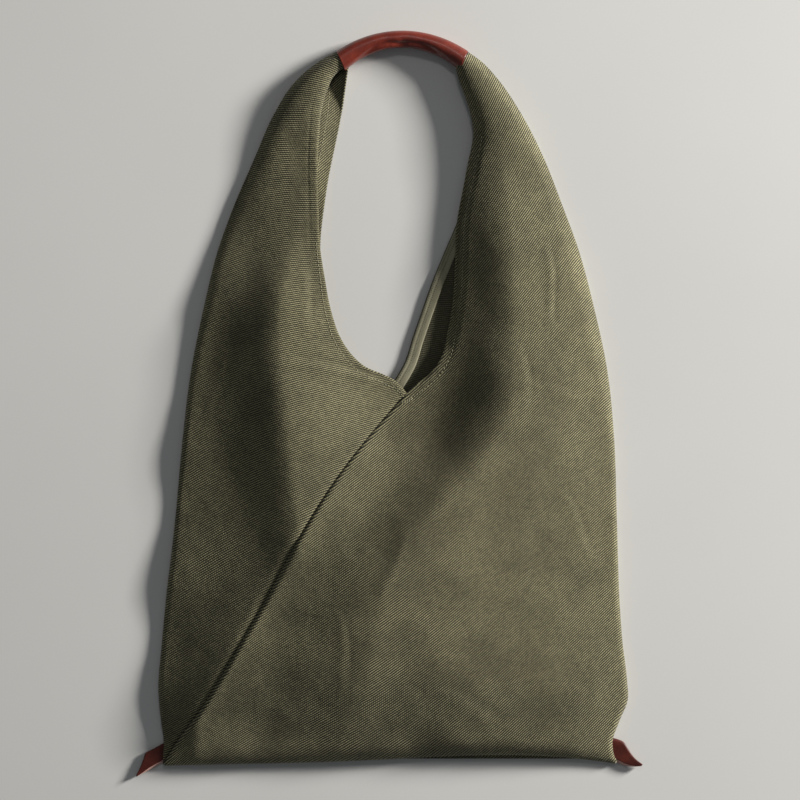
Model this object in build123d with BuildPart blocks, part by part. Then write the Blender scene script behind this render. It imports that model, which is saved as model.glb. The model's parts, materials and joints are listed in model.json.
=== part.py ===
"""An empty hobo bag of heavy twill, lying flat on its back with its handle towards +Y.

One long strip of cloth is folded round the bag, so that its only two seams run
diagonally, one up the front and one up the back, from a bottom corner to the neck.
Its two ends rise as horns, which are gathered into a leather sleeve: the handle.
Millimetres. The origin is under the middle of the bag, on the surface it lies on.
"""

from build123d import *
import os

# Cloth and trim
CLOTH = 1.6  # heavy twill, one layer
TAPE = 1.0  # cotton tape that binds the raw edges inside
TAPE_WIDTH = 10.0
LEATHER = 1.6
RUN_GAP = 0.25  # half of the gap left between the body and the horns, which fold
FAR = 400  # larger than the bag
HIGH = 80

# The bag as it lies: y, left edge, right edge, height
STATIONS = [
    (-338, -209.5, 211, 9),
    (-326, -208.5, 209, 19),
    (-280, -215, 223, 32),
    (-150, -204, 212, 41),
    (0, -188, 206, 41),
    (100, -170, 186, 38),
    (190, -142, 157, 33),
    (270, -107, 121, 27),
    (312, -72, 93, 22),
    (334, -46, 71, 20),
]
FLOOR_TRIM = 0.4  # the forms start this far under the floor, so that the trim leaves a true plane
SPLIT = 4.5  # the front layer meets the back layer at this height along the folds

# The horns fold up about this line across the bag, just under the neck and above the highest cloth
FOLD_Y = -5.0
FOLD_Z = 42.0

# Neck and seams, in plan
FRONT_NECK_BOTTOM = (17, 11)
BACK_NECK_BOTTOM = (-4, 8)
FRONT_NECK_LEFT = [(-40, 318), (-58, 290), (-67, 230), (-64, 160), (-54, 88), (-34, 43)]
FRONT_NECK_RIGHT = [(62, 318), (72, 275), (77, 245), (64, 170), (60, 100), (45, 40)]
BACK_NECK_LEFT = [(-40, 318), (-44, 270), (-58, 205), (-66, 150), (-56, 80), (-34, 34)]
BACK_NECK_RIGHT = [(62, 318), (72, 275), (74, 225), (58, 155), (33, 95), (14, 36)]
FRONT_SEAM = [(-215, -341), (-195, -310), (-150, -246), (-95, -149), (-48, -68), (3, -7)]
BACK_SEAM = [(217, -341), (198, -310), (154, -246), (104, -149), (60, -68), (14, -9)]

# Handle: an arc between the two horn tips, with a knot of gathered cloth at each end
HANDLE_LEFT = (-45.5, 321.3)
HANDLE_TOP = (8.0, 341.7)
HANDLE_RIGHT = (70.2, 321.3)
HANDLE_R = 8.3
HANDLE_Z = 10.0
CORE_R = HANDLE_R - LEATHER - 0.2
KNOT_R = 9.8
KNOT_SOCKET_R = 10.1  # what the horn tips leave free, so that the knots can turn
RIM_CLEAR = (6, 9)  # how far the handle's rim reaches back over the horns as it swings, in x and y
RIM_ROOM = 60
TIP_FILL = 34  # how far down the gathered cloth fills each horn
STITCHES = 22
STITCH_R = 0.35
STITCH_LENGTH = 3.4
STITCH_SIDE = 35  # degrees under the inner side of the handle

# Leather corner tabs, each a strip folded in two, as outlines from the hinge line outwards
TAB_THICK = 3.6
TAB_Z = 2.8
LEFT_TAB = [(-212.6, -317), (-229.5, -327), (-238, -350), (-214.5, -337), (-212.6, -337)]
RIGHT_TAB = [(213.4, -316.5), (221.5, -318), (238, -339), (214, -335), (213.4, -334)]


def bag_form(inset, bottom_inset, end_over=0.0):
    """The bag's form without its neck, shrunk by inset all round."""
    with BuildPart() as form:
        for i, (y, left, right, height) in enumerate(STATIONS):
            first, last = i == 0, i == len(STATIONS) - 1
            at = y + bottom_inset * first + end_over * last
            low = inset if inset else -FLOOR_TRIM
            tall = height - inset - low
            plane = Plane(((left + right) / 2, at, low + tall / 2), x_dir=(1, 0, 0), z_dir=(0, -1, 0))
            with BuildSketch(plane):
                SlotOverall(right - left - 2 * inset, tall)
        loft()
        if not inset:
            split(bisect_by=Plane.XY, keep=Keep.TOP)
    return form.part


def neck_opening(left, bottom, right, low, high):
    """What the neck cuts out of one layer between two heights."""
    with BuildPart() as opening:
        with BuildSketch(Plane.XY.offset(low)):
            with BuildLine():
                Spline(*left, bottom)
                Spline(bottom, *reversed(right))
                Polyline(right[0], (right[0][0], FAR), (left[0][0], FAR), left[0])
            make_face()
        extrude(amount=high - low)
    return opening.part


def left_of_seam(seam, neck, low, high):
    """Everything left of a seam and of the neck's lowest point, between two heights."""
    with BuildPart() as side:
        with BuildSketch(Plane.XY.offset(low)):
            with BuildLine():
                Spline(*seam, neck)
                Polyline(neck, (neck[0], FAR), (-FAR, FAR), (-FAR, -FAR), (seam[0][0], -FAR), seam[0])
            make_face()
        extrude(amount=high - low)
    return side.part


def band(points, width, low, high):
    """A band of one width that follows the curve through some points."""
    with BuildPart() as strip:
        with BuildSketch(Plane.XY.offset(low)):
            with BuildLine():
                Spline(*points)
            trace(line_width=width)
        extrude(amount=high - low)
    return strip.part


def box_between(y_low, y_high):
    """A block right across the bag from one y to another."""
    with BuildPart() as block:
        with Locations((0, (y_low + y_high) / 2, 0)):
            Box(2 * FAR, y_high - y_low, 2 * FAR)
    return block.part


def save(piece, name):
    piece.part.label = name
    export_step(piece.part, f"parts/{name}.step")


os.makedirs("parts", exist_ok=True)

# The forms that the pieces are cut from: the bag, the bag inside its cloth, and inside its tape
outer = bag_form(0, 0)
inner = bag_form(CLOTH, CLOTH, end_over=1)
inside_tape = bag_form(CLOTH + TAPE, CLOTH + TAPE, end_over=2)
front_neck = neck_opening(FRONT_NECK_LEFT, FRONT_NECK_BOTTOM, FRONT_NECK_RIGHT, SPLIT, HIGH)
back_neck = neck_opening(BACK_NECK_LEFT, BACK_NECK_BOTTOM, BACK_NECK_RIGHT, -HIGH, SPLIT)
below_fold = box_between(-FAR, FOLD_Y - RUN_GAP)
above_fold = box_between(FOLD_Y + RUN_GAP, FAR)
left_front = left_of_seam(FRONT_SEAM, FRONT_NECK_BOTTOM, SPLIT, HIGH)
left_back = left_of_seam(BACK_SEAM, BACK_NECK_BOTTOM, -HIGH, SPLIT)

with BuildPart() as left_of_seams:
    add(left_front)
    add(left_back)

with BuildPart() as shell:
    add(outer)
    for hollow in (inner, front_neck, back_neck):
        add(hollow, mode=Mode.SUBTRACT)

with BuildPart() as lining:
    add(inner)
    for hollow in (inside_tape, front_neck, back_neck):
        add(hollow, mode=Mode.SUBTRACT)

# The body's cloth, on the left and on the right of the two seams
with BuildPart() as left_panel:
    add(shell.part)
    add(below_fold, mode=Mode.INTERSECT)
    add(left_of_seams.part, mode=Mode.INTERSECT)
save(left_panel, "left_panel")

with BuildPart() as right_panel:
    add(shell.part)
    add(below_fold, mode=Mode.INTERSECT)
    add(left_of_seams.part, mode=Mode.SUBTRACT)
save(right_panel, "right_panel")

# Tape over the raw edges of the two diagonal seams, inside the bag
with BuildPart() as front_seam_tape:
    add(lining.part)
    add(below_fold, mode=Mode.INTERSECT)
    add(band([*FRONT_SEAM, FRONT_NECK_BOTTOM], TAPE_WIDTH, SPLIT, HIGH), mode=Mode.INTERSECT)
save(front_seam_tape, "front_seam_tape")

with BuildPart() as back_seam_tape:
    add(lining.part)
    add(below_fold, mode=Mode.INTERSECT)
    add(band([*BACK_SEAM, BACK_NECK_BOTTOM], TAPE_WIDTH, -HIGH, SPLIT), mode=Mode.INTERSECT)
save(back_seam_tape, "back_seam_tape")

# Handle
with BuildLine() as handle_path:
    ThreePointArc(
        (*HANDLE_LEFT, HANDLE_Z),
        (*HANDLE_TOP, HANDLE_Z),
        (*HANDLE_RIGHT, HANDLE_Z),
    )
handle_arc = handle_path.edge()
left_end = Plane(handle_arc @ 0, z_dir=handle_arc % 0)  # faces into the handle
right_end = Plane(handle_arc @ 1, z_dir=(handle_arc % 1) * -1)

with BuildPart() as handle_sleeve:
    with BuildSketch(left_end):
        Circle(HANDLE_R)
        Circle(HANDLE_R - LEATHER, mode=Mode.SUBTRACT)
    sweep(path=handle_arc)
save(handle_sleeve, "handle_sleeve")

with BuildPart() as handle_core:
    with Locations(left_end.origin, right_end.origin):
        Sphere(KNOT_R)
    with BuildSketch(left_end, right_end):
        Circle(2 * KNOT_R)
    extrude(amount=2 * KNOT_R, mode=Mode.SUBTRACT)
    with BuildSketch(left_end):
        Circle(CORE_R)
    sweep(path=handle_arc)
save(handle_core, "handle_core")

with BuildPart() as handle_stitches:
    for i in range(STITCHES):
        along = (i + 0.5) / STITCHES
        tangent = handle_arc % along
        inward = Vector(tangent.Y, -tangent.X, 0)
        out = inward.rotate(Axis((0, 0, 0), tangent), -STITCH_SIDE)
        middle = handle_arc @ along + out * (HANDLE_R + STITCH_R + 0.05)
        with BuildSketch(Plane(middle - tangent * (STITCH_LENGTH / 2), z_dir=tangent)):
            Circle(STITCH_R)
        extrude(amount=STITCH_LENGTH)
save(handle_stitches, "handle_stitches")

# The two horns, their gathered tips and the tape inside their neck edges
for side in ("left", "right"):
    end = left_end if side == "left" else right_end
    own_side = Mode.INTERSECT if side == "left" else Mode.SUBTRACT
    front_edge = FRONT_NECK_LEFT if side == "left" else FRONT_NECK_RIGHT
    back_edge = BACK_NECK_LEFT if side == "left" else BACK_NECK_RIGHT

    tape_end = end.offset(-TIP_FILL)
    toward_horn = -1 if side == "left" else 1
    corner = end.origin + Vector(toward_horn * RIM_CLEAR[0], -RIM_CLEAR[1], 0)
    near = Align.MIN if side == "left" else Align.MAX

    with BuildPart() as knot_room:
        with Locations(end.origin):
            Sphere(KNOT_SOCKET_R)
    with BuildPart() as rim_room:
        with Locations(corner):
            Box(RIM_ROOM, RIM_ROOM, HIGH, align=(near, Align.MIN, Align.CENTER))

    with BuildPart() as horn:
        add(shell.part)
        add(above_fold, mode=Mode.INTERSECT)
        add(left_of_seams.part, mode=own_side)
        for room in (rim_room.part, knot_room.part):
            add(room, mode=Mode.SUBTRACT)
    save(horn, f"{side}_horn")

    with BuildPart() as gathered_tip:
        with BuildSketch(tape_end):
            Circle(TIP_FILL)
        extrude(amount=TIP_FILL)
        add(inner, mode=Mode.INTERSECT)
        add(left_of_seams.part, mode=own_side)
        for hollow in (front_neck, back_neck, rim_room.part, knot_room.part):
            add(hollow, mode=Mode.SUBTRACT)
    save(gathered_tip, f"gathered_tip_{side}")

    with BuildPart() as front_tape:
        add(lining.part)
        add(above_fold, mode=Mode.INTERSECT)
        add(band([*front_edge, FRONT_NECK_BOTTOM], 2 * TAPE_WIDTH, SPLIT, HIGH), mode=Mode.INTERSECT)
        add(left_of_seams.part, mode=own_side)
        split(bisect_by=tape_end, keep=Keep.BOTTOM)
    save(front_tape, f"front_neck_tape_{side}")

    with BuildPart() as back_tape:
        add(lining.part)
        add(above_fold, mode=Mode.INTERSECT)
        add(band([*back_edge, BACK_NECK_BOTTOM], 2 * TAPE_WIDTH, -HIGH, SPLIT), mode=Mode.INTERSECT)
        add(left_of_seams.part, mode=own_side)
        split(bisect_by=tape_end, keep=Keep.BOTTOM)
    save(back_tape, f"back_neck_tape_{side}")

# Corner tabs, rounded along the hinge line that their seam makes
for side, outline in (("left", LEFT_TAB), ("right", RIGHT_TAB)):
    hinge_length = outline[0][1] - outline[-1][1]
    with BuildPart() as tab:
        with BuildSketch(Plane.XY.offset(TAB_Z - TAB_THICK / 2)):
            with BuildLine():
                Polyline(*outline, close=True)
            make_face()
        extrude(amount=TAB_THICK)
        with BuildSketch(Plane((outline[0][0], outline[0][1], TAB_Z), z_dir=(0, -1, 0))):
            Circle(TAB_THICK / 2)
        extrude(amount=hinge_length)
    save(tab, f"{side}_tab")
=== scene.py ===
"""Looks for an empty hobo bag of olive twill that lies flat on its back, seen from above.

The cloth, tapes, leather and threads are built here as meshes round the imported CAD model.
Shapes are laid out in millimetres, as on a cutting table, and MM turns them into metres.
"""

import json
import math

import bpy
import numpy as np
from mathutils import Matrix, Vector
from mathutils.bvhtree import BVHTree


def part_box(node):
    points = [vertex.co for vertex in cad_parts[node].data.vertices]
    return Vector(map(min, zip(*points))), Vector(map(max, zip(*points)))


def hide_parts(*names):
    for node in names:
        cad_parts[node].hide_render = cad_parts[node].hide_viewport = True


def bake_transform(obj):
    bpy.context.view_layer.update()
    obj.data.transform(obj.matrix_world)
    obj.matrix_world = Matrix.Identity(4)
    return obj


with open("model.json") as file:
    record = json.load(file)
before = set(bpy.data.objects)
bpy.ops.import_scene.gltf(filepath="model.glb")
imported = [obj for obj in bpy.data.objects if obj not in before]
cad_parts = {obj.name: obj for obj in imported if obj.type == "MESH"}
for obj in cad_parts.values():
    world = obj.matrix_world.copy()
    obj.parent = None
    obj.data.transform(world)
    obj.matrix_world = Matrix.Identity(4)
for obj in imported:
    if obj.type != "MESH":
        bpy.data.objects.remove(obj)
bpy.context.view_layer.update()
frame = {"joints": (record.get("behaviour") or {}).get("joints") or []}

MM = 0.001
RNG = np.random.default_rng(7)

# ---------------- driving sizes, millimetres
CLOTH = 1.5  # one layer of twill
FLOOR_GAP = 0.05
TAPE = 0.7  # a tape's thickness, and how far it lies off the cloth
TAPE_WIDTH = 10.0
TAPE_START = 0.03  # where each tape begins, as a share of its edge
TAPE_END_Y = 292.0  # where the neck tapes go into the handle
TAPE_STEP = 3.0  # mesh step along a tape
TAPE_COLUMNS = 9
TAPE_TURN = 0.6  # how much higher its turned part lies
FOLD_R = 3.5  # radius of the side and bottom folds
BOTTOM_REACH = 16.0  # how far up the front the rounding at the bottom fold goes
STEP = 3.4  # mesh step on the front
BACK_STEP = 5.5  # and on the back
RIB = 1.85  # from one twill rib to the next, before the weave is stretched over the bag
FLOAT = 2.2  # from one raised thread to the next along a rib
FAN_Y = 175.0  # rows are level below this, and fan out to the handle above it

joints = {joint["name"]: joint for joint in frame["joints"]}
HANDLE_Y = joints["handle_swing"]["pos_m"][1] / MM
HANDLE_Z = joints["handle_swing"]["pos_m"][2] / MM
NARROW = 45.0  # where the cloth is narrower than this, its folds get finer

# ---------------- plan of the bag, millimetres
CORNER_LEFT = (-213.2, -338)
CORNER_RIGHT = (212.4, -336)
NECK_FRONT = (16.5, 9.8)  # where the front seam meets the neck
NECK_BACK = (-4, 8)
TIP_LEFT = ((-48.1, 329.0), (-39.1, 317.4))  # outer and inner side of the cloth inside the handle's left end
TIP_RIGHT = ((72.6, 329.0), (63.6, 317.4))
TIP_R = 7.5  # radius of the cloth's tips inside the handle

OUTER_LEFT = [CORNER_LEFT, (-210.0, -318), (-212.6, -297), (-215, -269), (-211.5, -222),
              (-208, -184), (-199.3, -109), (-192.4, -34), (-184.2, 32), (-173, 88),
              (-158.9, 145), (-143.8, 187), (-125.6, 229), (-106.4, 272), (-88, 300),
              (-68, 317.5), TIP_LEFT[0]]
OUTER_RIGHT = [CORNER_RIGHT, (208.4, -318), (215, -297), (222.8, -277), (222, -259),
               (217.6, -222), (215, -184), (212.5, -109), (210, -34), (203.4, 32),
               (191.6, 88), (176.4, 145), (161, 187), (144.6, 229), (122.5, 272),
               (103, 301), (86, 319.5), TIP_RIGHT[0]]
BOTTOM_BOW = (0.0, 1.2, 2.4, 5.0, 8.0, 7.5, 0.0)  # how far the bottom edge bows up, left to right

FRONT_SEAM = [(-212.2, -337), (-197.4, -314), (-178.2, -288.6), (-143.8, -234), (-115.6, -185),
              (-84.3, -127), (-51.7, -74.3), (-22, -34.8), (2.8, -5.6), NECK_FRONT]
FRONT_NECK_END = [NECK_FRONT, (5.6, 21.6)]
FRONT_NECK_LEFT = [(5.6, 21.6), (-6.6, 27.3), (-21.6, 33.5), (-35.7, 46), (-45.6, 61),
                   (-55, 88), (-60.5, 117), (-64.9, 146), (-66.4, 180), (-67.4, 215),
                   (-66.6, 251), (-64.2, 276), (-59, 295), (-52.8, 308), (-45.5, 314.6), TIP_LEFT[1]]
FRONT_NECK_RIGHT = [NECK_FRONT, (25.3, 17.4), (34.5, 24.1), (44.6, 34.8), (50.5, 45.8), (55.4, 66),
                    (60.2, 95), (62.6, 135), (64, 168.7), (69.2, 198), (76, 229), (80.2, 252),
                    (78, 271), (72.8, 288), (66.8, 304), TIP_RIGHT[1]]
BACK_SEAM = [(211.4, -334), (198, -310), (154, -246), (104, -149), (60, -68), (20, -20), NECK_BACK]
BACK_NECK_LEFT = [NECK_BACK, (-24, 27), (-42, 45), (-54, 72), (-63, 117), (-64.5, 150),
                  (-60.6, 187), (-56.5, 214), (-50.5, 243), (-45.2, 270), (-42.6, 293), TIP_LEFT[1]]
BACK_NECK_RIGHT = [NECK_BACK, (5.2, 22.5), (14.3, 38.5), (22.3, 63), (31.4, 89.3), (40.4, 114.7),
                   (53.1, 145.3), (62, 166), (72, 195), (80, 229), (85, 256), (79, 280), (70, 300), TIP_RIGHT[1]]


class Edge:
    """A curve in plan, smooth along each stretch of points, read by y or by its share of length."""

    def __init__(self, *stretches):
        lines = []
        for stretch in stretches:
            points = np.array(stretch, float)
            chord = np.r_[0, np.cumsum(np.linalg.norm(np.diff(points, axis=0), axis=1))]
            order = 2 if len(points) > 2 else 1
            slope = np.gradient(points, chord, axis=0, edge_order=order)
            fine = np.linspace(0, chord[-1], 900)
            k = np.clip(np.searchsorted(chord, fine, "right") - 1, 0, len(chord) - 2)
            h = (chord[k + 1] - chord[k])[:, None]
            t = (fine - chord[k])[:, None] / h
            lines.append(
                (1 + 2 * t) * (1 - t) ** 2 * points[k]
                + t * (1 - t) ** 2 * h * slope[k]
                + t**2 * (3 - 2 * t) * points[k + 1]
                + t**2 * (t - 1) * h * slope[k + 1]
            )
        self.line = np.concatenate([lines[0]] + [line[1:] for line in lines[1:]])
        run = np.r_[0, np.cumsum(np.linalg.norm(np.diff(self.line, axis=0), axis=1))]
        self.length = run[-1]
        self.share = run / run[-1]

    def at(self, share):
        return np.stack([np.interp(share, self.share, self.line[:, i]) for i in (0, 1)], -1)

    def share_at(self, y):
        return np.interp(y, self.line[:, 1], self.share)

    def x_at(self, y):
        return np.interp(y, self.line[:, 1], self.line[:, 0])

    def normal(self, share):
        """The direction to the right of the curve, in plan."""
        ahead = self.at(np.clip(share + 0.002, 0, 1)) - self.at(np.clip(share - 0.002, 0, 1))
        ahead /= np.linalg.norm(ahead, axis=-1, keepdims=True)
        return np.stack([ahead[..., 1], -ahead[..., 0]], -1)


def ramp(value):
    """Rises smoothly from 0 to 1 as value does."""
    value = np.clip(value, 0, 1)
    return value * value * (3 - 2 * value)


def bump(distance, width):
    """1 at no distance, and falling away on both sides."""
    return np.exp(-((distance / width) ** 2))


def rounded(value):
    """Rises from 0 to 1 as a quarter of a circle does."""
    return np.sqrt(np.clip(1 - np.clip(1 - value, 0, 1) ** 2, 0, 1))


def half_round(share):
    """A half circle over the width of a strip of cloth."""
    return np.sqrt(np.clip(1 - (2 * share - 1) ** 2, 0, 1))


def finer(width):
    """1 on the body, and less where the cloth narrows towards the handle."""
    return np.minimum(1, width / NARROW)


outer_left = Edge(OUTER_LEFT)
outer_right = Edge(OUTER_RIGHT)
front_left_inner = Edge(FRONT_SEAM, FRONT_NECK_END, FRONT_NECK_LEFT)
front_right_inner = Edge(FRONT_SEAM, FRONT_NECK_RIGHT)
back_left_inner = Edge(BACK_SEAM, BACK_NECK_LEFT)
back_right_inner = Edge(BACK_SEAM, BACK_NECK_RIGHT)
front_seam = Edge(FRONT_SEAM)
back_seam = Edge(BACK_SEAM)
neck_front_left = Edge(FRONT_NECK_LEFT)
neck_front_right = Edge(FRONT_NECK_RIGHT)
neck_back_left = Edge(BACK_NECK_LEFT)
neck_back_right = Edge(BACK_NECK_RIGHT)

# ---------------- how high the cloth lies
# The two horns run on down the body as soft ridges, with a valley between them under the neck.
# Crests and the valley are lines in plan. Heights are (y, height) pairs above MARGIN.
LEFT_CREST = Edge([(-180, -300), (-146, -240), (-115, -190), (-84, -130), (-87, -95), (-94, -43), (-99, 4),
                   (-103, 70), (-100, 107), (-90, 145), (-84, 182), (-78, 230)])
RIGHT_CREST = Edge([(-24, -345), (-4, -190), (26, -120), (60, -81), (91, -45), (111, -6), (116, 60),
                    (115, 145), (110, 190), (102, 240), (94, 290)])
VALLEY = Edge([(-60, -345), (-40, -190), (-8, -120), (16, -81), (27, -45), (20, 0), (20, 40), (30, 145),
               (50, 290)])
LEFT_HEIGHT = Edge([(-345, 4), (-300, 12), (-230, 20), (-130, 26), (-40, 25), (60, 23), (110, 20), (160, 15),
                    (230, 10)])
RIGHT_HEIGHT = Edge([(-345, 1), (-318, 9), (-285, 20), (-225, 32), (-120, 34.5), (-40, 30), (70, 21), (150, 17),
                     (229, 11), (290, 6)])
VALLEY_DEPTH = Edge([(-220, 0), (-160, 2), (-118, 4), (-81, 10), (-45, 19), (0, 21.5), (70, 19), (145, 17),
                     (230, 11)])
MARGIN = 6.6  # two layers of cloth and the air in their fold
CREASES = (  # start, end, width, depth
    ((-107, 40), (4, 25), 3.0, 0.9),
    ((104, 23), (200, 5), 2.4, 0.5),
    ((146, 154), (156, 70), 2.6, 0.5),
    ((86, -231), (114, -176), 2.4, 0.5),
    ((114, -176), (160, -110), 2.4, 0.45),
    ((-46, -184), (-37, -278), 2.6, 0.4),
    ((188, -240), (200, -262), 2.2, 0.5),
    ((120, 60), (134, -20), 3.0, 0.4),
    ((-84, 150), (-70, 60), 3.0, 0.5),
    ((20, -110), (-6, -190), 3.4, 0.6),
    ((40, -262), (110, -300), 5.0, 0.5),
    ((-150, 60), (-166, -20), 3.0, 0.5),
    ((150, -60), (196, -150), 3.0, 0.4),
)


def table(profile, y):
    """A smooth reading of a profile made from (y, value) pairs."""
    return np.interp(y, profile.line[:, 0], profile.line[:, 1])


WAVES = [
    (size, height, direction, phase)
    for size, height, count in ((110, 0.8, 7), (52, 0.16, 9), (21, 0.035, 12))
    for direction, phase in RNG.uniform(0, 2 * math.pi, (count, 2))
]


def undulation(x, y):
    """The gentle unevenness of cloth that has been folded and worn."""
    total = np.zeros_like(x)
    for size, height, direction, phase in WAVES:
        along = x * math.cos(direction) + y * math.sin(direction)
        across = y * math.cos(direction) - x * math.sin(direction)
        sway = 0.9 * np.sin(across / size * 2.3 + phase * 3)
        total += height * np.sin(2 * math.pi * along / size + phase + sway)
    return total * 0.5


def crease(x, y):
    total = np.zeros_like(x)
    for (x0, y0), (x1, y1), width, depth in CREASES:
        run = math.hypot(x1 - x0, y1 - y0)
        ux, uy = (x1 - x0) / run, (y1 - y0) / run
        along = ((x - x0) * ux + (y - y0) * uy) / run
        off = (x - x0) * uy - (y - y0) * ux + 3 * np.sin(along * 5)
        fade = ramp(along * 4) * ramp((1 - along) * 4)
        total += depth * fade * (bump(off - width, width * 1.4) - bump(off + width, width))
    return total


def front_height(x, y):
    """How high the front of the body lies, away from its folds."""
    left, right, low = LEFT_CREST.x_at(y), RIGHT_CREST.x_at(y), VALLEY.x_at(y)
    edge_left, edge_right = outer_left.x_at(y), outer_right.x_at(y)
    crest_left = table(LEFT_HEIGHT, y)
    crest_right = table(RIGHT_HEIGHT, y + 18 * np.log1p(np.exp((x - 50) / 30)) * ramp((-150 - y) / 110))
    # down to the left edge: steep below the crest, then gentle
    reach = np.maximum(left - edge_left, 1)
    even = 0.34 + 0.5 * ramp((-60 - y) / 80)
    drop = bump(np.minimum(x - left, 0), np.minimum(40, reach * 0.5))
    flank = even * np.clip((x - edge_left) / reach, 0, 1) + (1 - even) * drop
    # down to the right edge: an even slope
    share = np.clip((x - right) / np.maximum(edge_right - right, 1), 0, 1)
    in_horn = ramp((y + 60) / 140)
    slope = 1 - (0.94 - 0.17 * in_horn) * share ** (1.12 + 0.3 * in_horn)
    between = ramp((x - left) / np.maximum(right - left, 1))
    top = crest_left + (crest_right - crest_left) * between
    depth = table(VALLEY_DEPTH, y)
    fall = np.clip((x - left) / np.maximum(low - left, 1), 0, 1)
    rise = np.clip((right - x) / np.maximum(right - low, 1), 0, 1)
    steep = ramp((right - x) / 66)
    valley = depth * ramp(fall**0.8) * (0.22 * ramp(rise) + 0.78 * steep)
    top = top * np.where(x < left, flank, 1) * np.where(x > right, slope, 1)
    return MARGIN + top - valley + undulation(x, y) + crease(x, y)


def back_height(x, y):
    """How high the back's underside lies: on the floor, but for a few soft lifts."""
    return 0.15 + 0.9 * np.maximum(0, undulation(y * 1.1 + 40, x)) ** 1.2


# ---------------- mesh building
def columns(width, count, outer_steps, inner_steps):
    """Distances from the outer edge, one row of them for each width."""
    scale = finer(width)[:, None]
    near = np.array(outer_steps)[None] * scale
    far = width[:, None] - np.array(inner_steps)[None, ::-1] * scale
    share = np.linspace(0, 1, count + 1)[None, 1:-1]
    return np.concatenate([near, near[:, -1:] + (far[:, :1] - near[:, -1:]) * share, far], axis=1)


def matched_rows(outer, inner, low_y, step):
    """Points on the two edges, row by row: level rows below FAN_Y, then rows that fan out."""
    level = np.linspace(low_y, FAN_Y, round((FAN_Y - low_y) / step))
    fan = np.linspace(0, 1, round((HANDLE_Y - FAN_Y) * 1.12 / step))[1:]

    def points(edge):
        turn = edge.share_at(FAN_Y)
        return edge.at(np.r_[edge.share_at(level), turn + (1 - turn) * fan])

    return points(outer), points(inner), np.r_[level * 0, fan]


def grid_faces(rows, cols, flip=False):
    i, j = np.meshgrid(np.arange(rows - 1), np.arange(cols - 1), indexing="ij")
    a = (i * cols + j).ravel()
    quads = np.stack([a, a + 1, a + cols + 1, a + cols], -1)
    return quads[:, ::-1] if flip else quads


def tube_faces(rings, sides, capped=False):
    """Faces round a tube of rings, with its two ends closed if capped."""
    i, j = np.meshgrid(np.arange(rings - 1), np.arange(sides), indexing="ij")
    k = (j + 1) % sides
    faces = np.stack([i * sides + j, i * sides + k, (i + 1) * sides + k, (i + 1) * sides + j], -1)
    ends = [range(sides)[::-1], range((rings - 1) * sides, rings * sides)] if capped else []
    return [*faces.reshape(-1, 4), *ends]


def add_object(name, data):
    piece = bpy.data.objects.new(name, data)
    bpy.context.scene.collection.objects.link(piece)
    return piece


def make_mesh(name, points, faces, values=None):
    """A mesh object from points in millimetres, with float or vector values at its points."""
    mesh = bpy.data.meshes.new(name)
    points = np.asarray(points, float).reshape(-1, 3)
    mesh.from_pydata((points * MM).tolist(), [], [tuple(int(k) for k in face) for face in faces])
    for key, value in {"rest": points, **(values or {})}.items():
        value = np.asarray(value, np.float32).ravel()
        kind, slot = ("FLOAT_VECTOR", "vector") if len(value) > len(points) else ("FLOAT", "value")
        mesh.attributes.new(key, kind, "POINT").data.foreach_set(slot, value)
    mesh.validate()
    mesh.shade_smooth()
    return add_object(name, mesh)


def thicken(piece, thickness):
    """Gives a sheet its thickness, under the side that it shows, and keeps it off the floor."""
    solid = piece.modifiers.new("thickness", "SOLIDIFY")
    solid.thickness = thickness * MM
    solid.offset = -1
    graph = bpy.context.evaluated_depsgraph_get()
    final = bpy.data.meshes.new_from_object(piece.evaluated_get(graph), depsgraph=graph)
    piece.modifiers.clear()
    piece.data = final
    final.name = piece.name
    for vertex in final.vertices:
        vertex.co.z = max(vertex.co.z, FLOOR_GAP * MM)
    return piece


def weave_fit(anchors):
    """Polynomials whose gradients run across and along the ribs, from (x, y, angle) anchors."""
    powers = [(i, j) for i in range(5) for j in range(5 - i) if i + j]
    scale = 300.0
    rows, across, along = [], [], []
    for x, y, degrees in anchors:
        x, y, turn = x / scale, y / scale, math.radians(degrees)
        rows.append([i * x ** max(i - 1, 0) * y**j for i, j in powers])
        rows.append([j * x**i * y ** max(j - 1, 0) for i, j in powers])
        across += [-math.sin(turn) * scale, math.cos(turn) * scale]
        along += [math.cos(turn) * scale, math.sin(turn) * scale]
    ridge = [[0.02 * (i + j) if k == m else 0 for m in range(len(powers))] for k, (i, j) in enumerate(powers)]
    matrix = np.array(rows + ridge)
    fits = [
        np.linalg.lstsq(matrix, np.array(side + [0] * len(powers)), rcond=None)[0] for side in (across, along)
    ]

    def weave(x, y):
        terms = [(x / scale) ** i * (y / scale) ** j for i, j in powers]
        phases = [sum(c * term for c, term in zip(fit, terms)) for fit in fits]
        return np.stack([phases[0], phases[1], np.zeros_like(x)], -1)

    return weave


WEAVE_LEFT = weave_fit([
    (-164, -90, 30), (-150, -184, 30), (-182, -270, 30), (-120, -130, 30), (-164, 23, 27), (-164, 93, 22),
    (-131, 206, 13), (-131, 140, 16), (-98, 272, 7), (-98, 206, 11), (-65, 305, -24), (-84, 107, -2),
    (-90, 60, 4), (-32, -6, 17), (-70, -60, 26), (-80, 0, 18), (-10, 10, 17), (-70, 250, 4),
])
WEAVE_RIGHT = weave_fit([
    (-16, -175, 34), (-30, -110, 34), (86, -137, 39), (60, -200, 38), (132, -24, 47), (100, 20, 46),
    (198, -137, 41), (200, -30, 44), (132, 126, 50), (150, 60, 49), (118, 206, 53), (109, 239, 59),
    (95, 272, 63), (80, 305, 68), (160, -278, 50), (100, -290, 44), (-130, -297, 31), (30, -297, 38),
    (30, -40, 38), (66, 60, 46), (180, -200, 44), (-90, -240, 32),
])
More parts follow.
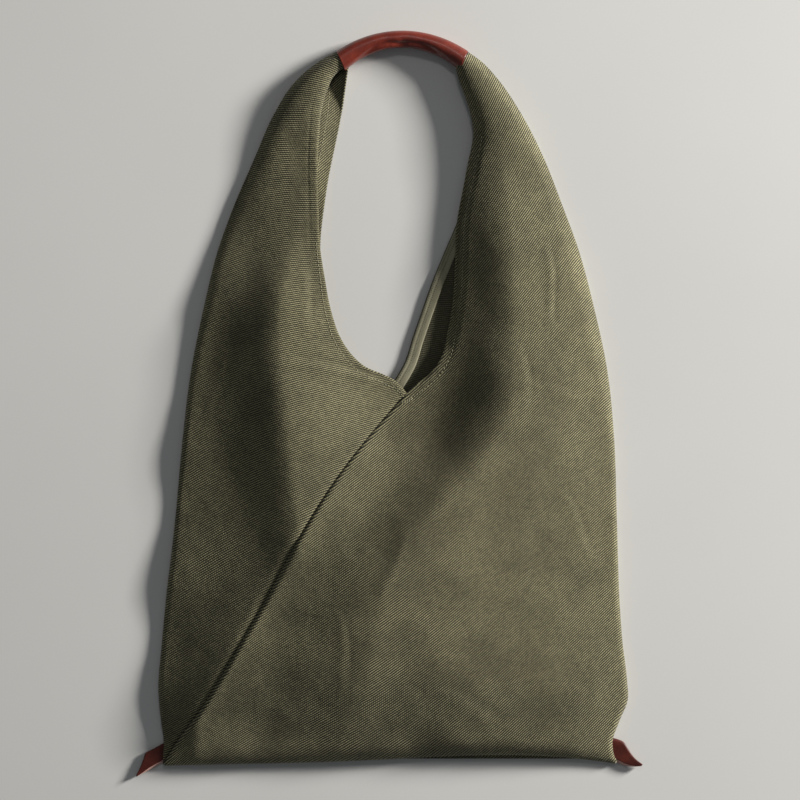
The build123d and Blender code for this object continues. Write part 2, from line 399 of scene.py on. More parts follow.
WEAVE_BACK_LEFT = weave_fit([
    (-52, 290, 39), (-56, 250, 42), (-62, 205, 45), (-90, 240, 44), (-120, 170, 44), (-150, 40, 42), (-80, 60, 44),
    (-190, -140, 40), (-60, -60, 40), (-100, -220, 38), (20, -180, 38), (-190, -310, 36), (-20, -310, 36),
    (150, -310, 36),
])
WEAVE_BACK_RIGHT = weave_fit([(-x, y, 180 - turn) for x, y, turn in (
    (-164, -90, 30), (-150, -184, 30), (-164, 93, 22), (-131, 206, 13), (-98, 272, 7), (-65, 305, -24),
    (-84, 107, -2), (-32, -6, 17), (-70, -60, 26), (-131, 140, 16), (-20, 30, 17), (-110, -150, 30),
)])

WRAP = np.radians([-90, -62, -34, -10])  # how the front goes on round its folds and under
OUTER_STEPS = [0, 0.35, 1.1, 2.3, 3.8, 5.6, 8]
INNER_STEPS = [0, 0.35, 1.0, 2.0, 3.4, 5.2]


def tip_weight(fan):
    """0 on the body, 1 where the cloth goes into the handle."""
    return ramp((fan - 0.25) / 0.72)


def front_sheet(name, outer, inner, inward, low_y, count, weave, seam_side, bow=None):
    """One front panel with its horn: outer fold to seam or neck, and the bottom fold if bow is given."""
    a, b, fan = matched_rows(outer, inner, low_y, STEP)
    width = np.linalg.norm(b - a, axis=1)
    d = columns(width, count, OUTER_STEPS, INNER_STEPS)
    wrap_d = FOLD_R * (1 - np.cos(WRAP))[None] * finer(width)[:, None]
    share = np.concatenate([wrap_d, d], axis=1) / np.maximum(width, 1e-6)[:, None]
    down = np.concatenate([np.sin(WRAP)[None] + 0 * wrap_d, 0 * d], axis=1)
    plan = a[:, None] + (b - a)[:, None] * share[..., None]
    to_outer = share * width[:, None]
    to_inner = (1 - share) * width[:, None]
    fan = np.repeat(fan[:, None], share.shape[1], axis=1)
    if bow is not None:
        plan, to_outer, to_inner, fan, down, share = bottom_fold(
            plan, to_outer, to_inner, fan, down, share, bow
        )
    x, y = plan[..., 0], plan[..., 1]
    from_bottom = np.full_like(x, 1e3) if bow is None else y - bottom_line(x, bow)
    on_neck = ramp((y - NECK_FRONT[1] + 6) / 6)
    on_seam = 1 - on_neck
    z = front_height(x, y)
    # the horns are soft tubes, gathered into the handle at their tips
    across = half_round(share)
    if seam_side == "left":
        tube = MARGIN * 0.75 + 7 * rounded(share / 0.35) + 7 * (share - 0.5)
        as_tube = ramp((y - 95) / 110)
    else:
        tube = MARGIN * 0.75 + 17 * across**0.9
        as_tube = ramp((y - 205) / 60)
        turned_in = ramp((y - 30) / 70) * ramp((256 - y) / 16) * on_neck
        z = np.maximum(z - 7 * turned_in * (1 - ramp(to_inner / 12)), 6)
    z = z + (tube + 0.5 * undulation(x * 1.7, y * 1.2) - z) * as_tube
    tip = HANDLE_Z + TIP_R * across
    w = tip_weight(fan)
    z = z + (tip - z) * w
    middle = FOLD_R + (HANDLE_Z - FOLD_R) * w
    # rounding at the outer fold, at the bottom fold, along the seam and at the hem
    widened = 1.2 if seam_side == "left" else 1.2 + 1.6 * ramp((250 - y) / 90)
    fold = FOLD_R * (1 + widened * ramp((y + 60) / 140))
    z = middle + (z - middle) * rounded(to_outer / fold) * rounded(from_bottom / BOTTOM_REACH)
    hem = on_neck * (1 - w)
    if seam_side == "left":
        z -= on_seam * (1.5 * bump(to_inner, 5) + 1.2 * bump(to_inner, 1.4))
    else:
        z += on_seam * (0.7 * bump(to_inner, 9) - 2.4 * bump(to_inner, 1.5))
    z -= hem * (0.5 * bump(to_inner, 0.6) + 0.3 * bump(to_inner - 8.2, 1.0))
    beneath = FOLD_R * (1 + down) + 0.1
    beneath = beneath + (HANDLE_Z - TIP_R * across - beneath) * w
    z = np.where(down < -1e-6, beneath, z)
    points = np.stack([x, y, z], -1)
    values = {
        "weave": weave(x, y),
        "wear": 0.15 * bump(to_inner, 1.2) * hem,
        # painted shade: a dark line in the groove along the front seam
        "painted_seam_shade": on_seam * bump(to_inner, 0.8),
    }
    return thicken(make_mesh(name, points, grid_faces(*x.shape, flip=inward < 0), values), CLOTH)


def bottom_line(x, bow):
    share = np.clip((x - CORNER_LEFT[0]) / (CORNER_RIGHT[0] - CORNER_LEFT[0]), 0, 1)
    lift = Edge(list(zip(np.linspace(0, 1, len(bow)) * 100, bow))).line
    base = CORNER_LEFT[1] + (CORNER_RIGHT[1] - CORNER_LEFT[1]) * share
    return base + np.interp(share * 100, lift[:, 0], lift[:, 1])


def bottom_fold(plan, to_outer, to_inner, fan, down, share, bow):
    """Bends the lowest rows to the bottom edge, and adds the rows that go round under it."""
    level = plan[:1, :, 1]
    fade = 1 - ramp((plan[..., 1] - level) / 90)
    shift = (bottom_line(plan[:1, :, 0], bow) - level) * fade
    plan = plan.copy()
    plan[..., 1] += shift
    fine_y = plan[0, :, 1] + np.array([0.35, 1.2, 2.2])[:, None]
    extra = np.repeat(plan[:1], 3, axis=0)
    extra[..., 1] = fine_y
    first = np.repeat(plan[:1], len(WRAP), axis=0)
    first[..., 1] += FOLD_R * (1 - np.cos(WRAP))[:, None]
    plan = np.concatenate([first, plan[:1], extra, plan[1:]], axis=0)
    more = len(WRAP) + 3

    def stretch(values):
        return np.concatenate([np.repeat(values[:1], more, axis=0), values], axis=0)

    down = stretch(down)
    down[: len(WRAP)] = np.minimum(down[: len(WRAP)], np.sin(WRAP)[:, None])
    return plan, stretch(to_outer), stretch(to_inner), stretch(fan), down, stretch(share)


front_left = front_sheet(
    "front_left_cloth", outer_left, front_left_inner, -1,
    low_y=-335.5, count=46, weave=WEAVE_LEFT, seam_side="left",
)
front_right = front_sheet(
    "front_right_cloth", outer_right, front_right_inner, 1,
    low_y=-336.0, count=104, weave=WEAVE_RIGHT, seam_side="right", bow=BOTTOM_BOW,
)


def back_sheet(name, outer, inner, inward, low_y, count, weave):
    """One back panel with its horn, from where the front ends under the fold to the seam or neck."""
    a, b, fan = matched_rows(outer, inner, low_y, BACK_STEP)
    width = np.linalg.norm(b - a, axis=1)
    begin = (FOLD_R + 0.15) * finer(width)
    steps = np.linspace(0, 1, count)[None]
    d = begin[:, None] + (width - begin)[:, None] * steps
    share = d / np.maximum(width, 1e-6)[:, None]
    plan = a[:, None] + (b - a)[:, None] * share[..., None]
    x, y = plan[..., 0], plan[..., 1]
    to_inner = (1 - share) * width[:, None]
    fan = np.repeat(fan[:, None], share.shape[1], axis=1)
    across = half_round(share)
    w = ramp((fan - 0.6) / 0.37)
    on_seam = 1 - ramp((y - NECK_BACK[1]) / 6)
    z = back_height(x, y) * ramp(d / 30)
    z += 1.5 * bump(to_inner, 22) * (1 - on_seam) * (1 - w)
    z += on_seam * 1.2 * bump(to_inner, 2.5)
    if inward < 0:
        z += 6.5 * ramp((y - 160) / 60) * (1 - w) * ramp(to_inner / 24 + 0.1) * ramp(2.2 - to_inner / 24)
    z = np.maximum(z, 0) + CLOTH + FLOOR_GAP
    z += (HANDLE_Z - TIP_R * across - z) * w
    points = np.stack([x, y, z], -1)
    values = {"weave": weave(x, y), "wear": 0 * x}
    return thicken(make_mesh(name, points, grid_faces(*x.shape, flip=inward > 0), values), CLOTH)


back_left = back_sheet(
    "back_left_cloth", outer_left, back_left_inner, -1, low_y=-333.0, count=60, weave=WEAVE_BACK_LEFT
)
back_right = back_sheet(
    "back_right_cloth", outer_right, back_right_inner, 1, low_y=-331.0, count=26, weave=WEAVE_BACK_RIGHT
)


# ---------------- things that lie on the cloth
def surface_of(*pieces):
    """Looks down on some pieces and gives their highest points in millimetres, with their normals."""
    trees = []
    for piece in pieces:
        mesh = piece.data
        trees.append(BVHTree.FromPolygons([v.co for v in mesh.vertices], [p.vertices for p in mesh.polygons]))

    def look(x, y):
        best = None
        for tree in trees:
            place, normal, _, _ = tree.ray_cast(Vector((x * MM, y * MM, 0.2)), Vector((0, 0, -1)))
            if place is None:
                place, normal, _, far = tree.find_nearest(Vector((x * MM, y * MM, 0)))
                if far > 3 * MM:
                    continue
            if best is None or place.z > best[0].z:
                best = (place, normal if normal.z > 0 else -normal)
        if best is None:
            return np.array([x, y, 0.0]), np.array([0.0, 0.0, 1.0])
        return np.array(best[0]) / MM, np.array(best[1])

    return look


def along_edge(edge, start, end, inset_start, inset_end, pitch):
    """Evenly spaced plan points beside an edge, at an inset to its right that may change along it."""
    count = max(2, round(abs(end - start) * edge.length / pitch))
    share = np.linspace(start, end, count)
    inset = np.linspace(inset_start, inset_end, count)[:, None]
    return edge.at(share) + edge.normal(share) * inset


def ribbon(name, edge, end, inset, look):
    """A tape on or under a surface: right of an edge, or left of it with an inset below 0.

    Its far part lies higher, as a tape does that is turned over on itself.
    """
    insets = np.linspace(inset, inset + math.copysign(TAPE_WIDTH, inset), TAPE_COLUMNS)
    rows = [along_edge(edge, TAPE_START, end, beside, beside, TAPE_STEP) for beside in insets]
    shape = len(rows[0]), TAPE_COLUMNS
    points = np.empty((*shape, 3))
    for j, row in enumerate(rows):
        for i, (x, y) in enumerate(row):
            place, normal = look(x, y)
            points[i, j] = place + normal * (TAPE + TAPE_TURN * ramp(j - 0.55 * (TAPE_COLUMNS - 1)))
    across = np.linspace(0, TAPE_WIDTH, TAPE_COLUMNS)
    run, across = np.meshgrid(np.arange(shape[0]) * TAPE_STEP, across, indexing="ij")
    weave = np.stack([across, run, 0 * run], -1)
    return thicken(make_mesh(name, points, grid_faces(*shape, flip=inset < 0), {"weave": weave}), TAPE)


STITCH_PROFILE = ((-1.0, 0.35), (-0.75, 0.85), (-0.3, 1.0), (0.3, 1.0), (0.75, 0.85), (1.0, 0.35))


def stitch_mesh(name, ends, radius):
    """Short rounded threads, one for each pair of end points with their normal."""
    sides = 6
    tube = tube_faces(len(STITCH_PROFILE), sides, capped=True)
    points, faces = [], []
    for a, b, normal in ends:
        axis = (b - a) / 2
        side = np.cross(axis / np.linalg.norm(axis), normal)
        faces += [[len(points) + k for k in face] for face in tube]
        for along, size in STITCH_PROFILE:
            sink = -0.35 * radius * along**4
            for k in range(sides):
                turn = 2 * math.pi * k / sides
                ring = side * math.cos(turn) * radius * size + normal * (math.sin(turn) * radius * size + sink)
                points.append((a + b) / 2 + axis * along + ring)
    return make_mesh(name, points, faces)


def stitch_row(edge, start, end, inset_start, inset_end, look, pitch=3.3, length=2.3, lift=0.1):
    """The ends and the normal of each stitch in a row beside an edge, where there is cloth under it."""
    ends = []
    middles = along_edge(edge, start, end, inset_start, inset_end, pitch)
    ahead = np.gradient(middles, axis=0)
    ahead /= np.linalg.norm(ahead, axis=1, keepdims=True)
    for middle, way in zip(middles, ahead):
        reach = length * RNG.uniform(0.44, 0.52)
        a, normal_a = look(*(middle - way * reach))
        b, normal_b = look(*(middle + way * reach))
        normal = normal_a + normal_b
        normal /= np.linalg.norm(normal)
        if min(a[2], b[2]) > CLOTH:
            ends.append((a + normal * lift, b + normal * lift, normal))
    return ends


on_left = surface_of(front_left)
on_right = surface_of(front_right)
in_left = surface_of(back_left)
in_right = surface_of(back_right)


def under(look):
    """The far side of the cloth that look sees."""
    def below(x, y):
        place, normal = look(x, y)
        return place - normal * (CLOTH + 0.08), -normal
    return below


tapes = {  # CAD node: its tape
    "front_neck_tape_left": ribbon(
        "neck_tape_front_left", neck_front_left, neck_front_left.share_at(TAPE_END_Y), -1.2, under(on_left)),
    "front_neck_tape_right": ribbon(
        "neck_tape_front_right", neck_front_right, neck_front_right.share_at(TAPE_END_Y), 1.2, under(on_right)),
    "back_neck_tape_left": ribbon(
        "neck_tape_back_left", neck_back_left, neck_back_left.share_at(185), -6.0, in_left),
    "back_neck_tape_right": ribbon(
        "neck_tape_back_right", neck_back_right, neck_back_right.share_at(TAPE_END_Y), 0.7, in_right),
    "front_seam_tape": ribbon("seam_tape_front", front_seam, 0.98, 1.0, under(on_right)),
    "back_seam_tape": ribbon("seam_tape_back", back_seam, 0.98, -1.0, in_left),
}

TACK = [  # where the neck is held at the seam
    [(12.5, 3.2 - k), (16, 3.6 - k), (21, 6.2 - k)] for k in (0.0, 1.1, 2.2)
]
neck_threads = stitch_mesh(
    "neck_threads",
    stitch_row(neck_front_right, 0.0, neck_front_right.share_at(250), 7.0, 6.6, on_right)
    + stitch_row(neck_front_left, 0.0, 0.22, -6.8, -5.6, on_left)
    + stitch_row(neck_front_left, 0.22, neck_front_left.share_at(150), -5.6, -2.4, on_left)
    + [row for inset in (-2.4, -4.2) for row in stitch_row(
        Edge(FRONT_NECK_END), 0.0, 1.0, inset, inset, on_left, pitch=2.2, length=1.4)]
    + [row for place in TACK for row in stitch_row(
        Edge(place), 0.0, 1.0, 0, 0, surface_of(front_left, front_right), pitch=1.7, length=1.5, lift=0.25)]
    + stitch_row(
        neck_back_left, neck_back_left.share_at(212), neck_back_left.share_at(290), -11.6, -13.2, in_left),
    0.33,
)
tape_threads = stitch_mesh(
    "tape_threads",
    [row for inset in (2.6, 5.2) for row in stitch_row(
        neck_back_right, TAPE_START, neck_back_right.share_at(285), inset, inset,
        surface_of(tapes["back_neck_tape_right"]), pitch=2.0, length=0.8)],
    0.42,
)

# ---------------- leather
SLEEVE_R = 8.3  # half the CAD sleeve's thickness
SLEEVE_LEFT, SLEEVE_RIGHT = -45.5, 70.2  # where the middle line ends, in x
SLEEVE_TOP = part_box("handle_sleeve")[1].y / MM - SLEEVE_R  # the middle line's highest point
# the middle line follows a circle
HALF_SPAN = (SLEEVE_RIGHT - SLEEVE_LEFT) / 2
RISE = SLEEVE_TOP - HANDLE_Y
RADIUS = (HALF_SPAN**2 + RISE**2) / (2 * RISE)
CENTRE = np.array([(SLEEVE_LEFT + SLEEVE_RIGHT) / 2, SLEEVE_TOP - RADIUS])
HALF_ANGLE = math.asin(HALF_SPAN / RADIUS)
LEATHER = 1.3
SKEW = 0.04  # how far the ends are cut off square
# a long soft groove along the inner side: (percent of the length, angle round from the top, outwards)
GROOVE = Edge([(0, -1.5), (10, -1.3), (22, -0.9), (33, -0.45), (42, -0.5), (49, -0.75), (56, -0.55), (64, -0.5),
               (80, -0.95), (100, -1.5)])
SLEEVE_FOLDS = (  # share of the length, width, depth, angle round from the top, outwards
    (0.487, 0.04, 1.0, -0.5), (0.36, 0.06, 0.35, 0.3), (0.60, 0.06, 0.3, 0.3), (0.84, 0.06, 0.3, 0.1),
)


def handle_point(share, turn, size):
    """A point size away from the handle's middle line; turn 0 is up, 90 degrees is outward."""
    # the ends are cut a little askew, so the inner side is longer
    swing = (2 * share - 1) * (1 - SKEW * np.sin(turn) * np.abs(2 * share - 1) ** 9) * HALF_ANGLE
    out = np.stack([np.sin(swing), np.cos(swing)], -1)
    reach = RADIUS + size * np.sin(turn)
    plan = CENTRE + out * reach[..., None]
    return np.concatenate([plan, (HANDLE_Z + size * np.cos(turn))[..., None]], -1)


def sleeve_radius(share, turn):
    """The sleeve is slimmer in the middle, where the hand pinches it from inside into soft folds."""
    size = 8.1 + 1.7 * np.abs(2 * share - 1) ** 2.2
    off = turn - table(GROOVE, 100 * share)
    here = ramp((share - 0.06) / 0.2) * ramp((0.94 - share) / 0.2)
    size = size - here * (1.5 * bump(off, 0.36) - 0.3 * bump(off + 0.7, 0.35))
    for place, wide, depth, around in SLEEVE_FOLDS:
        size = size - depth * bump(share - place - 0.03 * (turn + 1), wide) * bump(turn - around, 0.55)
    wrinkle = np.sin(share * 110 + 1.3 * np.sin(share * 31) + 1.2 * turn) * ramp(1 - np.abs(share - 0.55) / 0.42)
    return size + 0.05 * wrinkle * ramp(-np.sin(turn) * 0.8 + 0.45)


def leather_sleeve():
    rings, sides = 150, 56
    turn = np.linspace(0, 2 * math.pi, sides, endpoint=False)
    # along the outside, round the cut edge at each end, and a little way back inside
    outside = np.linspace(0, 1, rings)
    share = np.r_[0.035, 0.0, 0.0, outside, 1.0, 1.0, 0.965]
    inset = np.r_[LEATHER, LEATHER, 0.25, 0 * outside, 0.25, LEATHER, LEATHER]
    cut = np.r_[0, 1, 1, 0 * outside, 1, 1, 0]
    s, a = np.meshgrid(share, turn, indexing="ij")
    signed = np.where(a > math.pi, a - 2 * math.pi, a)
    size = sleeve_radius(s, signed) - inset[:, None]
    points = handle_point(s, a, size)
    values = {"cut": np.repeat(cut, sides)}
    return make_mesh("leather_sleeve", points, tube_faces(len(share), sides), values)


leather = leather_sleeve()


def sleeve_threads():
    """The stitches that close the sleeve along the underside of its inner side."""
    ends = []
    turn = math.radians(-125)
    for share in np.linspace(0.03, 0.97, 30):
        a, b = (handle_point(np.array(s), np.array(turn), sleeve_radius(s, turn) + 0.1)
                for s in (share - 0.011, share + 0.011))
        middle = handle_point(np.array(share), np.array(turn), np.array(0.0))
        normal = (a + b) / 2 - middle
        ends.append((a, b, normal / np.linalg.norm(normal)))
    return stitch_mesh("sleeve_threads", ends, 0.38)


handle_threads = sleeve_threads()


def gathered_core():
    """The two horns' cloth, gathered and pushed right through the sleeve."""
    rings, sides = 70, 72
    share = np.linspace(0.008, 0.992, rings)
    turn = np.linspace(0, 2 * math.pi, sides, endpoint=False)
    s, a = np.meshgrid(share, turn, indexing="ij")
    pleats = 0.4 * np.sin(11 * a + 2.1 * np.sin(3 * a) + 5 * s) + 0.2 * np.sin(23 * a - 9 * s)
    size = 4.3 + 1.9 * np.abs(2 * s - 1) ** 3 + pleats
    size = size * np.minimum(1, 0.35 + 16 * np.minimum(s - 0.008, 0.992 - s)) ** 0.5
    points = handle_point(s, a, size)
    # the weave in millimetres, round the core and along it
    values = {"weave": np.stack([a * 6.2, s * 130, 0 * s], -1), "wear": 0 * s}
    return make_mesh("gathered_core", points, tube_faces(rings, sides, capped=True), values)


core = gathered_core()

# round the section of a folded tab: share of its width from the fold, share of its half thickness
TAB_PROFILE = (
    (0.0, 0.0), (0.012, 0.5), (0.04, 0.82), (0.1, 0.97), (0.22, 1.0), (0.4, 1.0), (0.6, 1.0), (0.8, 1.0),
    (0.86, 0.98), (0.885, 0.85), (0.915, 0.5), (0.92, 0.16), (0.9, 0.02), (0.93, -0.1), (0.975, -0.35),
    (1.0, -0.7), (0.99, -0.95), (0.9, -1.0), (0.6, -1.0), (0.4, -1.0), (0.22, -1.0), (0.1, -0.97), (0.04, -0.82),
    (0.012, -0.5),
)
CUT_FROM = 0.87  # from here on the section shows the leather's cut edges


def leather_tab(name, fold, cut, centre_z, curl):
    """A strip folded in two: rounded along fold, two cut edges along cut, both run from the seam outwards."""
    count = 26
    share = np.linspace(0, 1, count)
    fold_line, cut_line = Edge(*fold).at(share), Edge(*cut).at(share)
    v, h = np.array(TAB_PROFILE).T
    plan = fold_line[:, None] + (cut_line - fold_line)[:, None] * v[None, :, None]
    lift = curl * share**2
    half = 1.75 - 0.25 * share
    z = centre_z + lift[:, None] + half[:, None] * h[None] + 0.25 * np.sin(plan[..., 1] * 0.35)
    points = np.concatenate([plan, z[..., None]], -1)
    is_cut = (v > CUT_FROM) & (h > -0.97)
    return make_mesh(name, points, tube_faces(count, len(v), capped=True), {"cut": np.tile(is_cut, count)})


tab_z = {side: sum(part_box(f"{side}_tab")[i].z for i in (0, 1)) / 2 / MM for side in ("left", "right")}
tab_left = leather_tab(
    "leather_tab_left",
    [[(-206, -315), (-213, -319), (-229.2, -327.6)], [(-229.2, -327.6), (-230.4, -332), (-237.4, -348.2)]],
    [[(-208, -334), (-216, -338.6), (-236.8, -349.8)]],
    tab_z["left"], 1.0,
)
tab_right = leather_tab(
    "leather_tab_right",
    [[(205, -313), (215, -314.8), (220, -317), (224, -322.8), (231, -332.6), (238, -338)]],
    [[(207, -331), (213.6, -336.4), (236.6, -339.9)]],
    tab_z["right"], 1.4,
)


# ---------------- materials
class Look:
    """A procedural material in the making, with short calls for its nodes."""

    def __init__(self, name, roughness, **settings):
        self.material = bpy.data.materials.new(name)
        self.material.use_nodes = True
        self.tree = self.material.node_tree
        self.shader = self.tree.nodes["Principled BSDF"]
        self.put(self.shader.inputs["Roughness"], roughness)
        for key, value in settings.items():
            self.put(self.shader.inputs[key.replace("_", " ").title().replace("Ior", "IOR")], value)

    def put(self, socket, value):
        if isinstance(value, bpy.types.NodeSocket):
            self.tree.links.new(value, socket)
        else:
            socket.default_value = value

    def node(self, kind, *values):
        """A new node with its first sockets filled."""
        node = self.tree.nodes.new("ShaderNode" + kind)
        for socket, value in zip(node.inputs, values):
            self.put(socket, value)
        return node

    def read(self, name, output="Vector"):
        node = self.node("Attribute")
        node.attribute_name = name
        return node.outputs[output]

    def split(self, vector):
        return self.node("SeparateXYZ", vector).outputs

    def join(self, x, y, z=0.0):
        return self.node("CombineXYZ", x, y, z).outputs[0]

    def math(self, operation, *values):
        node = self.node("Math", *values)
        node.operation = operation
        return node.outputs[0]

    def times(self, product, *values):
        for value in values:
            product = self.math("MULTIPLY", product, value)
        return product

    def step(self, value, low, high, to_low=0.0, to_high=1.0):
        """Runs smoothly from to_low to to_high as value goes from low to high."""
        node = self.node("MapRange", value, low, high, to_low, to_high)
        node.interpolation_type = "SMOOTHSTEP"
        return node.outputs[0]

    def noise(self, place, scale, detail=2.0, roughness=0.5, distortion=0.0):
        node = self.node("TexNoise")
        self.put(node.inputs["Vector"], place)
        numbers = {"Scale": scale, "Detail": detail, "Roughness": roughness, "Distortion": distortion}
        for key, value in numbers.items():
            self.put(node.inputs[key], value)
        return node.outputs["Fac"]

    def cells(self, place, scale):
        """How far each place is from the edge of its cell."""
        node = self.node("TexVoronoi")
        node.feature = "DISTANCE_TO_EDGE"
        self.put(node.inputs["Vector"], place)
        self.put(node.inputs["Scale"], scale)
        return node.outputs["Distance"]

    def chance(self, place):
        """A fixed random number for each place."""
        return self.node("TexWhiteNoise", place).outputs["Value"]

    def mix(self, share, a, b):
        """Colour a where share is 0, and colour b where it is 1."""
        node = self.node("Mix")
        node.data_type = "RGBA"
        self.put(node.inputs["Factor"], share)
        self.put(node.inputs[6], a)
        self.put(node.inputs[7], b)
        return node.outputs[2]

    def finish(self, colour, height, depth):
        """Puts the colour on, and the height as bumps that are depth millimetres deep."""
        self.put(self.shader.inputs["Base Color"], colour)
        node = self.node("Bump")
        node.inputs["Strength"].default_value = 1.0
        node.inputs["Distance"].default_value = depth * MM
        self.put(node.inputs["Height"], height)
        self.put(self.shader.inputs["Normal"], node.outputs[0])
        return self.material


def shade(red, green, blue):
    """A colour as it looks on screen, made linear."""
    return (*(((c / 255 + 0.055) / 1.055) ** 2.4 for c in (red, green, blue)), 1)


MIDDLE = 0.42  # the twill's tone that stays as it is where its ribs stand out more


def twill_look(name, dark, light, worn):
    """Twill: raised threads in slanting ribs on a darker ground."""
    look = Look(name, 0.86, sheen_weight=0.12, sheen_roughness=0.5)
    place = look.read("rest")
    across, along, _ = look.split(look.read("weave"))
    drift = look.math("SUBTRACT", look.noise(place, 0.09, 3), 0.5)
    rib = look.math("DIVIDE", look.math("ADD", across, drift), RIB)
    number = look.math("FLOOR", rib)
    shift = look.math("MULTIPLY_ADD", number, 0.37, look.times(look.chance(look.join(number, 3)), 0.22))
    run = look.math("ADD", look.math("DIVIDE", look.math("ADD", along, drift), FLOAT), shift)
    thread = look.math("FLOOR", run)
    # 0 in the grooves and 1 on top of each raised thread
    in_rib = look.math("PINGPONG", rib, 0.5)
    in_run = look.math("PINGPONG", run, 0.5)
    raised = look.times(look.step(in_rib, 0.12, 0.44), look.step(in_run, 0.0, 0.3, 0.6, 1.0))
    pick = look.chance(look.join(number, thread, 7))
    fade = look.noise(place, 0.022, 4, 0.6)
    fuzz = look.noise(place, 1.4, 3, 0.7)
    # the yarn runs thick and thin
    slub = look.noise(look.join(look.times(across, 0.45), look.times(along, 0.16)), 1.0, 2, 0.6)
    bright = look.times(
        raised, look.step(pick, 0.0, 1.0, 0.85, 1.15), look.step(fuzz, 0.25, 0.7, 0.75, 1.1),
        look.step(slub, 0.3, 0.7, 0.85, 1.17),
    )
    # in places the ribs stand out more
    crisp = look.step(look.noise(place, 0.018, 3, 0.5), 0.38, 0.62, 1.0, 1.35)
    bright = look.math("MULTIPLY_ADD", look.math("SUBTRACT", bright, MIDDLE), crisp, MIDDLE)
    colour = look.mix(bright, dark, light)
    colour = look.mix(look.step(fade, 0.35, 0.7, 0.0, 0.35), colour, dark)
    rubbed = look.step(look.noise(place, 0.35, 3), 0.35, 0.65, 0.2, 0.9)
    colour = look.mix(look.times(look.read("wear", "Fac"), rubbed), colour, worn)
    # painted shade darkens the groove along the front seam
    colour = look.mix(look.read("painted_seam_shade", "Fac"), colour, shade(20, 18, 11))
    # small set-in wrinkles
    wavy = look.noise(place, 0.06, 3, 0.55, 0.6)
    height = look.math("MULTIPLY_ADD", raised, look.times(crisp, 0.8), look.times(wavy, 2.2))
    height = look.math("MULTIPLY_ADD", fuzz, 0.25, height)
    return look.finish(colour, height, 0.3)


def tape_look():
    """Plain woven binding tape, flat along its edges."""
    look = Look("tape", 0.8, sheen_weight=0.1)
    place = look.read("rest")
    across, along, _ = look.split(look.read("weave"))
    weft = look.step(look.math("PINGPONG", along, 0.4), 0.02, 0.38)
    warp = look.step(look.math("PINGPONG", across, 0.45), 0.02, 0.4, 0.55, 1.0)
    thread = look.times(weft, warp)
    selvedge = look.step(look.math("PINGPONG", across, TAPE_WIDTH / 2), 0.2, 1.0)
    fuzz = look.noise(place, 1.8, 3, 0.7)
    bright = look.times(thread, look.step(fuzz, 0.2, 0.75, 0.6, 1.1))
    colour = look.mix(bright, shade(140, 136, 110), shade(196, 192, 164))
    colour = look.mix(look.step(look.noise(place, 0.05), 0.4, 0.7, 0.0, 0.3), colour, shade(120, 116, 92))
    height = look.times(look.math("ADD", thread, fuzz), selvedge)
    return look.finish(colour, height, 0.1)


def thread_look(name, pale, deep):
    """Twisted sewing thread."""
    look = Look(name, 0.6, sheen_weight=0.2)
    place = look.read("rest")
    x, y, _ = look.split(place)
    twist = look.math("PINGPONG", look.math("MULTIPLY_ADD", x, 2.4, look.times(y, 2.1)), 0.5)
    fuzz = look.noise(place, 3.0, 2, 0.6)
    tone = look.times(look.step(twist, 0.0, 0.4, 0.35, 1.0), look.step(fuzz, 0.2, 0.7))
    colour = look.mix(tone, deep, pale)
    return look.finish(colour, look.math("MULTIPLY_ADD", fuzz, 0.4, twist), 0.15)


def leather_look(name, light, deep, edge, gloss):
    """Grained, mottled leather with fine wrinkles, and a paler fibrous edge where it is cut."""
    look = Look(name, 0.5, specular_ior_level=0.35, coat_weight=gloss, coat_roughness=0.3)
    place = look.read("rest")
    grain = look.step(look.cells(place, 0.95), 0.0, 0.4)
    fine = look.step(look.cells(place, 2.3), 0.0, 0.4)
    cloud = look.noise(place, 0.07, 4, 0.6)
    mottle = look.noise(place, 0.5, 4, 0.65, 0.6)
    creased = look.step(look.noise(look.join(*look.split(place)[:2]), 0.24, 5, 0.7, 2.0), 0.47, 0.53)
    tone = look.times(look.step(cloud, 0.3, 0.7, 0.45, 1.0), look.step(mottle, 0.3, 0.75, 0.55, 1.0))
    colour = look.mix(tone, deep, light)
    colour = look.mix(look.step(grain, 0.0, 1.0, 0.2, 0.0), colour, deep)
    cut = look.read("cut", "Fac")
    fibre = look.noise(place, 1.7, 4, 0.7, 1.0)
    colour = look.mix(look.times(cut, look.step(fibre, 0.2, 0.6, 0.55, 1.0)), colour, edge)
    rough = look.math("MULTIPLY_ADD", mottle, 0.3, look.step(grain, 0, 1, 0.42, 0.3))
    look.put(look.shader.inputs["Roughness"], look.math("MAXIMUM", rough, look.times(cut, 0.85)))
    height = look.math("ADD", look.times(grain, 0.6), look.times(fine, 0.25))
    height = look.math("ADD", height, look.times(creased, 0.35))
    height = look.math("ADD", height, look.times(cut, fibre, 1.5))
    return look.finish(colour, height, 0.035)


def floor_look():
    """Smooth pale board."""
    look = Look("pale_floor", 0.8, specular_ior_level=0.1)
    place = look.node("TexCoord").outputs["Object"]
    cloud = look.noise(place, 3.0, 4, 0.5)
    colour = look.mix(cloud, shade(225, 225, 223), shade(236, 236, 234))
    return look.finish(colour, look.noise(place, 900, 2), 0.02)


twill = twill_look("olive_twill", shade(31, 30, 14), shade(170, 164, 126), shade(170, 163, 128))
inside_twill = twill_look("twill_inside", shade(58, 57, 42), shade(120, 116, 88), shade(140, 134, 106))
tape_cloth = tape_look()
pale_thread = thread_look("pale_thread", shade(205, 200, 165), shade(120, 115, 85))
dark_thread = thread_look("dark_thread", shade(58, 54, 38), shade(26, 24, 16))
handle_leather = leather_look("handle_leather", shade(142, 46, 20), shade(80, 17, 5), shade(170, 105, 75), 0.9)
tab_leather = leather_look("tab_leather", shade(100, 36, 22), shade(52, 12, 6), shade(222, 180, 168), 0.2)

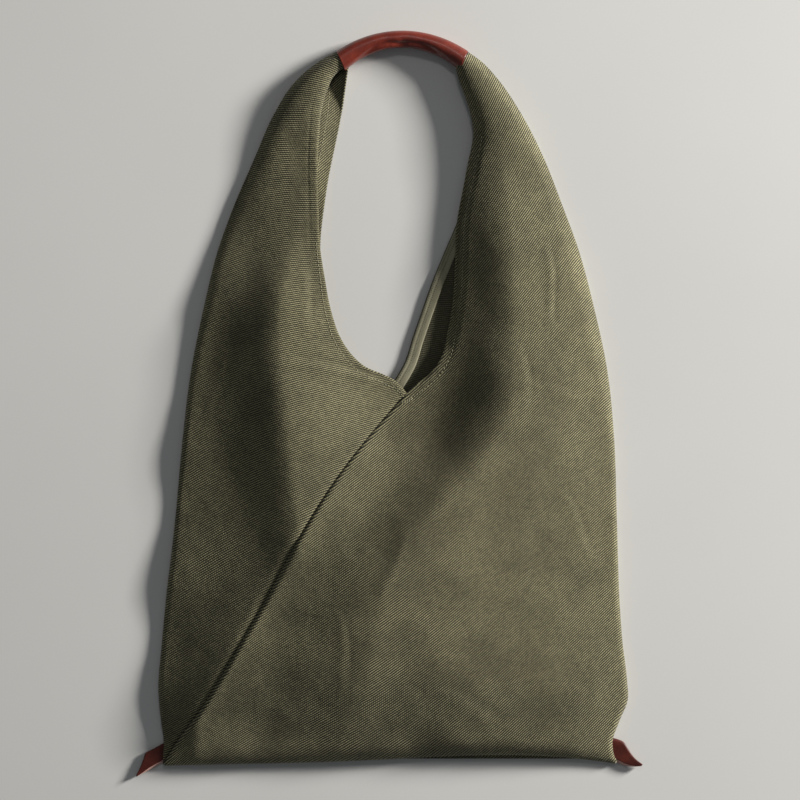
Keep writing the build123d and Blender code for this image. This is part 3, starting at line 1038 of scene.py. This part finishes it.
# ---------------- stage
FLOOR_HALF = 4  # half the floor's side, in metres
floor_mesh = bpy.data.meshes.new("floor")
floor_corners = [(x * FLOOR_HALF, y * FLOOR_HALF, 0) for x, y in ((-1, -1), (1, -1), (1, 1), (-1, 1))]
floor_mesh.from_pydata(floor_corners, [], [(0, 1, 2, 3)])
floor = add_object("floor", floor_mesh)
floor_mesh.materials.append(floor_look())

SENSOR = 36
CAMERA_HEIGHT = 3.0
VIEW_WIDTH = 0.752  # metres of floor across the picture
VIEW_CENTRE = (0.0103, 0.0038)
camera_data = bpy.data.cameras.new("camera")
camera_data.sensor_width = SENSOR
camera_data.lens = SENSOR * CAMERA_HEIGHT / VIEW_WIDTH
camera = add_object("camera", camera_data)
camera.location = (*VIEW_CENTRE, CAMERA_HEIGHT)
bpy.context.scene.camera = camera
bpy.context.scene.view_settings.view_transform = "Standard"


def area_light(name, place, target, size, power, colour):
    """A soft rectangular light, in metres and watts."""
    light = bpy.data.lights.new(name, "AREA")
    light.shape = "RECTANGLE"
    light.size, light.size_y = size
    light.energy = power
    light.color = colour
    lamp = add_object(name, light)
    lamp.location = place
    aim = np.array(target) - np.array(place)
    lamp.rotation_mode = "QUATERNION"
    lamp.rotation_quaternion = Vector(aim).to_track_quat("-Z", "Y")


area_light("key", (4.1, 1.75, 1.38), (0, 0, 0), (1.0, 0.85), 412, (1, 0.97, 0.92))
area_light("fill", (0.2, 1.7, 2.5), (0, 0.1, 0), (0.5, 0.4), 4.5, (1, 0.97, 0.94))
world = bpy.data.worlds.new("world")
world.use_nodes = True
world.node_tree.nodes["Background"].inputs["Color"].default_value = (0.9, 0.95, 1, 1)
world.node_tree.nodes["Background"].inputs["Strength"].default_value = 0.1
bpy.context.scene.world = world


# ---------------- materials for each piece, and the CAD nodes it replaces hidden
def dress(piece, material, replaced=()):
    """Gives a piece its material, and hides the CAD nodes that it stands for."""
    piece.data.materials.clear()
    piece.data.materials.append(material)
    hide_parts(*replaced)


dress(front_left, twill, ("left_panel", "left_horn", "gathered_tip_left"))
dress(front_right, twill, ("right_panel", "right_horn", "gathered_tip_right"))
dress(back_left, twill)
dress(back_right, inside_twill)
for node, tape in tapes.items():
    dress(tape, tape_cloth, (node,))
dress(neck_threads, pale_thread)
dress(tape_threads, dark_thread)
across_fold = (front_left, front_right, back_left, back_right, *tapes.values(), neck_threads, tape_threads)
for piece in across_fold:
    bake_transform(piece)

dress(leather, handle_leather, ("handle_sleeve",))
dress(handle_threads, dark_thread, ("handle_stitches",))
dress(core, twill, ("handle_core",))
for piece in (leather, handle_threads, core):
    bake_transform(piece)

dress(tab_left, tab_leather, ("left_tab",))
dress(tab_right, tab_leather, ("right_tab",))
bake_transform(tab_left)
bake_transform(tab_right)
